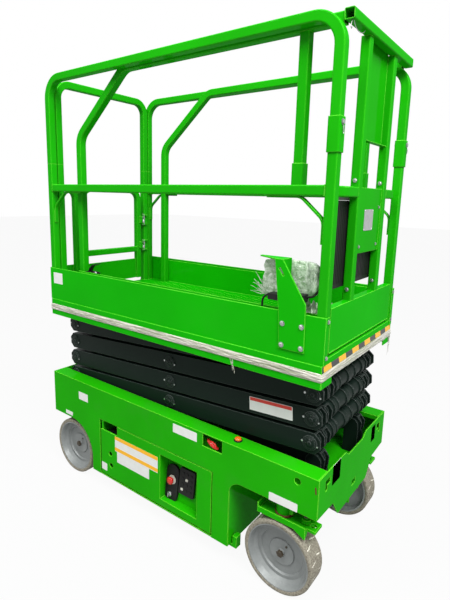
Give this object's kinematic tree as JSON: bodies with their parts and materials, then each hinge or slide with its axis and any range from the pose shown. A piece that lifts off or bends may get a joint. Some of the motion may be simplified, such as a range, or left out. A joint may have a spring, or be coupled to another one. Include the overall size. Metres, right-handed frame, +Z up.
{
  "type": "electric slab scissor lift",
  "caption": "Compact self-propelled scissor lift: steered wheels, folding scissor stack with lift cylinder, railed platform with a sliding extension deck, gate and swing-out trays.",
  "frame": {"origin": "on the ground, at the middle of the overall length and width", "axes": "+X forward (steered end), +Z up, +Y to the machine's left"},
  "size_m": [1.79, 0.802, 2.25],
  "materials": {
    "body_paint": "gloss enamel",
    "rail_paint": "gloss enamel",
    "arm_paint": "satin enamel",
    "dark_paint": "satin enamel",
    "rim_paint": "semi-gloss enamel",
    "grey_rubber": "matt non-marking rubber",
    "chrome_rod": "ground and chromed",
    "black_plastic": "moulded, fine texture",
    "red_plastic": "gloss",
    "amber_plastic": "clear gloss",
    "wrap_film": "milky film"
  },
  "bodies": {
    "chassis": {"chassis_side_sheets": "body_paint", "chassis_end_plates": "body_paint", "chassis_pan": "body_paint", "spine_and_shelves": "body_paint", "tray_bay_ends": "body_paint", "roller_tracks": "dark_paint", "scissor_ears": "dark_paint", "cylinder_lugs": "dark_paint", "front_axle": "body_paint", "rear_axle": "body_paint", "entry_ladder": "body_paint", "pothole_guards": "body_paint", "beacon_lamp": "amber_plastic", "lowering_pull": "dark_paint"},
    "tray_left": {"tray_left": "body_paint", "battery_pack": "black_plastic"},
    "tray_right": {"tray_right": "body_paint", "power_unit": "black_plastic", "lower_controls": "black_plastic", "stop_button": "red_plastic"},
    "knuckle_left": {"knuckle_left": "body_paint"},
    "knuckle_right": {"knuckle_right": "body_paint"},
    "tie_rod": {"tie_rod": "body_paint"},
    "cylinder_barrel": {"cylinder_barrel": "arm_paint"},
    "cylinder_rod": {"cylinder_rod": "chrome_rod"},
    "platform": {"platform_deck": "body_paint", "toe_boards": "body_paint", "edge_strip": "wrap_film", "lower_rails": "rail_paint", "upper_rails": "rail_paint", "rear_frame": "rail_paint", "rear_upper_rail": "rail_paint", "control_bracket": "body_paint", "control_box": "wrap_film", "control_leads": "black_plastic"},
    "gate": {"entry_gate": "rail_paint"},
    "extension": {"extension_deck": "body_paint", "extension_rails": "rail_paint", "front_frame": "body_paint", "manual_box": "black_plastic", "deck_lock_pedal": "dark_paint"},
    "wheel_front_left": {"tyre_front_left": "grey_rubber", "rim_front_left": "rim_paint"},
    "wheel_front_right": {"tyre_front_right": "grey_rubber", "rim_front_right": "rim_paint"},
    "wheel_rear_left": {"tyre_rear_left": "grey_rubber", "rim_rear_left": "rim_paint"},
    "wheel_rear_right": {"tyre_rear_right": "grey_rubber", "rim_rear_right": "rim_paint"},
    "inner_1": {"inner_arms_1": "arm_paint"},
    "outer_1": {"outer_arms_1": "arm_paint"},
    "inner_2": {"inner_arms_2": "arm_paint"},
    "outer_2": {"outer_arms_2": "arm_paint"},
    "inner_3": {"inner_arms_3": "arm_paint"},
    "outer_3": {"outer_arms_3": "arm_paint"},
    "inner_4": {"inner_arms_4": "arm_paint"},
    "outer_4": {"outer_arms_4": "arm_paint"}
  },
  "joints": [
    {"name": "spin_rear_left", "type": "hinge", "parent": "chassis", "child": "wheel_rear_left", "pos_m": [-0.655, 0.32, 0.1615], "axis": [0, 1, 0], "continuous": true},
    {"name": "steer_left", "type": "hinge", "parent": "chassis", "child": "knuckle_left", "pos_m": [0.725, 0.32, 0.34], "axis": [0, 0, 1], "range_deg": [-60, 60]},
    {"name": "spin_front_left", "type": "hinge", "parent": "knuckle_left", "child": "wheel_front_left", "pos_m": [0.725, 0.32, 0.1615], "axis": [0, 1, 0], "continuous": true},
    {"name": "spin_rear_right", "type": "hinge", "parent": "chassis", "child": "wheel_rear_right", "pos_m": [-0.655, -0.32, 0.1615], "axis": [0, 1, 0], "continuous": true},
    {"name": "steer_right", "type": "hinge", "parent": "chassis", "child": "knuckle_right", "pos_m": [0.725, -0.32, 0.34], "axis": [0, 0, 1], "range_deg": [-60, 60]},
    {"name": "spin_front_right", "type": "hinge", "parent": "knuckle_right", "child": "wheel_front_right", "pos_m": [0.725, -0.32, 0.1615], "axis": [0, 1, 0], "continuous": true},
    {"name": "tie_rod_left_end", "type": "hinge", "parent": "knuckle_left", "child": "tie_rod", "pos_m": [0.825, 0.32, 0.358], "axis": [0, 0, 1], "range_deg": [-60, 60]},
    {"name": "tray_left_door", "type": "hinge", "parent": "chassis", "child": "tray_left", "pos_m": [-0.386, 0.371, 0.25], "axis": [0, 0, 1], "range_deg": [0, 85]},
    {"name": "tray_right_door", "type": "hinge", "parent": "chassis", "child": "tray_right", "pos_m": [-0.386, -0.371, 0.25], "axis": [0, 0, -1], "range_deg": [0, 85]},
    {"name": "lift", "type": "hinge", "parent": "chassis", "child": "inner_1", "pos_m": [0.803, 0, 0.5715], "axis": [0, 1, 0], "range_deg": [0, 53]},
    {"name": "cross_1", "type": "hinge", "parent": "inner_1", "child": "outer_1", "pos_m": [0.03472, 0, 0.623], "axis": [0, 1, 0], "range_deg": [-106, 0]},
    {"name": "inner_2_on_outer_1", "type": "hinge", "parent": "outer_1", "child": "inner_2", "pos_m": [0.803, 0, 0.6745], "axis": [0, 1, 0], "range_deg": [0, 106]},
    {"name": "cross_2", "type": "hinge", "parent": "inner_2", "child": "outer_2", "pos_m": [0.03472, 0, 0.726], "axis": [0, 1, 0], "range_deg": [-106, 0]},
    {"name": "inner_3_on_outer_2", "type": "hinge", "parent": "outer_2", "child": "inner_3", "pos_m": [0.803, 0, 0.7775], "axis": [0, 1, 0], "range_deg": [0, 106]},
    {"name": "cross_3", "type": "hinge", "parent": "inner_3", "child": "outer_3", "pos_m": [0.03472, 0, 0.829], "axis": [0, 1, 0], "range_deg": [-106, 0]},
    {"name": "inner_4_on_outer_3", "type": "hinge", "parent": "outer_3", "child": "inner_4", "pos_m": [0.803, 0, 0.8805], "axis": [0, 1, 0], "range_deg": [0, 106]},
    {"name": "cross_4", "type": "hinge", "parent": "inner_4", "child": "outer_4", "pos_m": [0.03472, 0, 0.932], "axis": [0, 1, 0], "range_deg": [-106, 0]},
    {"name": "platform_level", "type": "hinge", "parent": "outer_4", "child": "platform", "pos_m": [0.803, 0, 0.9835], "axis": [0, 1, 0], "range_deg": [0, 53]},
    {"name": "cylinder_tilt", "type": "hinge", "parent": "chassis", "child": "cylinder_barrel", "pos_m": [0.595, 0, 0.21], "axis": [0, 1, 0], "range_deg": [0, 37.42]},
    {"name": "cylinder_stroke", "type": "slide", "parent": "cylinder_barrel", "child": "cylinder_rod", "axis": [-0.693, 0, 0.721], "range_m": [0, 0.3082]},
    {"name": "extension_slide", "type": "slide", "parent": "platform", "child": "extension", "axis": [1, 0, 0], "range_m": [0, 0.9]},
    {"name": "gate_hinge", "type": "hinge", "parent": "platform", "child": "gate", "pos_m": [-0.754, 0.29, 1.395], "axis": [0, 0, 1], "range_deg": [0, 90]}
  ],
  "couplings": [
    {"joint": "steer_right", "follows": "steer_left", "ratio": 1},
    {"joint": "tie_rod_left_end", "follows": "steer_left", "ratio": -1},
    {"joint": "cross_1", "follows": "lift", "ratio": -2},
    {"joint": "inner_2_on_outer_1", "follows": "lift", "ratio": 2},
    {"joint": "cross_2", "follows": "lift", "ratio": -2},
    {"joint": "inner_3_on_outer_2", "follows": "lift", "ratio": 2},
    {"joint": "cross_3", "follows": "lift", "ratio": -2},
    {"joint": "inner_4_on_outer_3", "follows": "lift", "ratio": 2},
    {"joint": "cross_4", "follows": "lift", "ratio": -2},
    {"joint": "platform_level", "follows": "lift", "ratio": 1},
    {"joint": "cylinder_tilt", "follows": "lift", "ratio": 0.70566},
    {"joint": "cylinder_stroke", "follows": "lift", "m_per_rad": 0.333}
  ]
}
